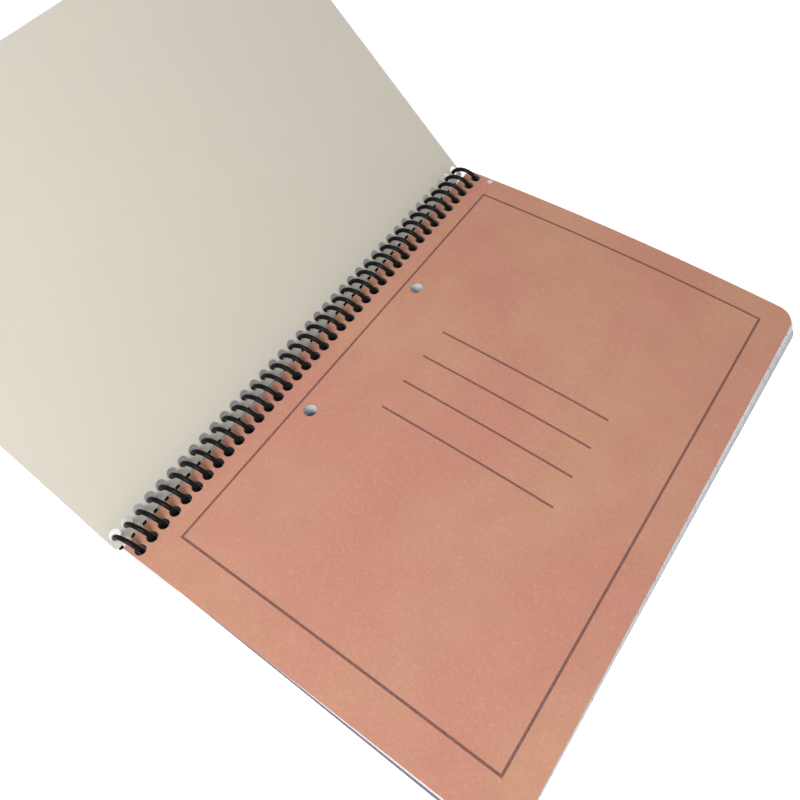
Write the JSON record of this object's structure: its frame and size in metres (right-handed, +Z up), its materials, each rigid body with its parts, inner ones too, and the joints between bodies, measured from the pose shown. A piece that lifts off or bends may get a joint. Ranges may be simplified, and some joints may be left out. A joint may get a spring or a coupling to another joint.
{
  "type": "spiral notebook",
  "caption": "Spiral-bound notebook turned to its kraft title sheet, with hinged card covers, a ruled page block and a black wire coil along the spine.",
  "frame": {"origin": "centre of the bounding box at ground level, front cover standing half open", "axes": "+Z up, +X from the spine to the fore edge, +Y up the page along the spine"},
  "size_m": [0.301, 0.253, 0.1371],
  "materials": {
    "kraft_paper": "matte",
    "page_paper": "matte",
    "cover_card": "matte",
    "coated_wire": "satin"
  },
  "bodies": {
    "book": {"page_block": "page_paper", "title_sheet": "kraft_paper", "spiral_coil": "coated_wire"},
    "front": {"front_cover": "cover_card"},
    "back": {"back_cover": "cover_card"}
  },
  "joints": [
    {"name": "front_cover_hinge", "type": "hinge", "parent": "book", "child": "front", "pos_m": [-0.02869, 0, 0.00924], "axis": [0, -1, 0], "range_deg": [-130.5, 46]},
    {"name": "back_cover_hinge", "type": "hinge", "parent": "book", "child": "back", "pos_m": [-0.02833, 0, 0.00831], "axis": [0, 1, 0], "range_deg": [0, 25]}
  ]
}
